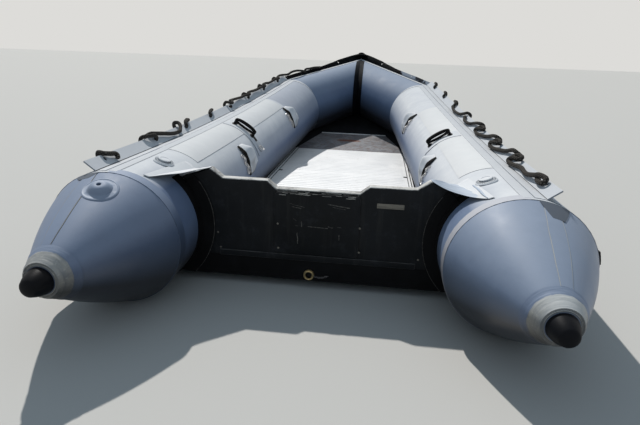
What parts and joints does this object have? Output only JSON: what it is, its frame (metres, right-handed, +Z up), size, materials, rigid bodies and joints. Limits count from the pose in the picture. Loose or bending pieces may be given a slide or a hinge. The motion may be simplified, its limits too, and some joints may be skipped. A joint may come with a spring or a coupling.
{
  "type": "inflatable boat",
  "caption": "Open inflatable boat with an upswept pointed bow, conical stern tubes, hard notched transom, ribbed metal floor and holed side flanges.",
  "frame": {"origin": "bottom centre of the whole boat as it rests on the ground", "axes": "+Y forward to the bow, +X to starboard, +Z up"},
  "size_m": [1.9626, 4.5424, 0.9135],
  "materials": {
    "aluminium": "bare extruded aluminium",
    "black_rubber": "black rubber, satin",
    "black_webbing": "black webbing and rope",
    "bow_board_ply": "dark grey varnished plywood",
    "brass": "dull brass",
    "glued_band": "coated fabric, beige grey with old glue",
    "matte_patch": "coated fabric, worn matte light grey",
    "painted_ply": "black painted plywood, worn edges",
    "plate_metal": "blank metal plate",
    "steel": "stainless steel",
    "tube_fabric": "coated fabric, semi-gloss mid grey"
  },
  "bodies": {
    "root": {"blank_plate": "plate_metal", "bow_board": "bow_board_ply", "bow_board_bar": "aluminium", "bow_flange_port": "black_rubber", "bow_flange_starboard": "black_rubber", "bow_strake_port": "black_rubber", "bow_strake_starboard": "black_rubber", "bow_tube_port": "tube_fabric", "bow_tube_starboard": "tube_fabric", "cone_band_port": "glued_band", "cone_band_starboard": "glued_band", "cone_boss_port": "tube_fabric", "cone_cap_port": "black_rubber", "cone_cap_starboard": "black_rubber", "drain_plug": "brass", "floor_board_1": "aluminium", "floor_board_2": "aluminium", "floor_board_3": "aluminium", "floor_stringer_port": "aluminium", "floor_stringer_starboard": "aluminium", "grab_handle_port": "black_rubber", "grab_handle_starboard": "black_rubber", "handle_patch_port": "tube_fabric", "handle_patch_starboard": "tube_fabric", "hull_bottom": "black_rubber", "lashing_pocket_port": "tube_fabric", "lashing_pocket_starboard": "tube_fabric", "motor_pad": "painted_ply", "nose_tape": "black_rubber", "pocket_ring_port": "steel", "pocket_ring_starboard": "steel", "pocket_strap_port": "black_webbing", "pocket_strap_starboard": "black_webbing", "rub_strake_port": "black_rubber", "rub_strake_starboard": "black_rubber", "side_flange_port": "tube_fabric", "side_flange_starboard": "tube_fabric", "stern_cone_port": "tube_fabric", "stern_cone_starboard": "tube_fabric", "transom_batten": "painted_ply", "transom_board": "painted_ply", "transom_collar_port": "black_rubber", "transom_collar_starboard": "black_rubber", "transom_flap": "black_rubber", "transom_web_port": "tube_fabric", "transom_web_starboard": "tube_fabric", "tube_port": "tube_fabric", "tube_starboard": "tube_fabric", "tube_top_patch_port": "matte_patch", "tube_top_patch_starboard": "matte_patch", "tube_valve_port": "tube_fabric", "tube_valve_starboard": "tube_fabric"}
  },
  "joints": []
}
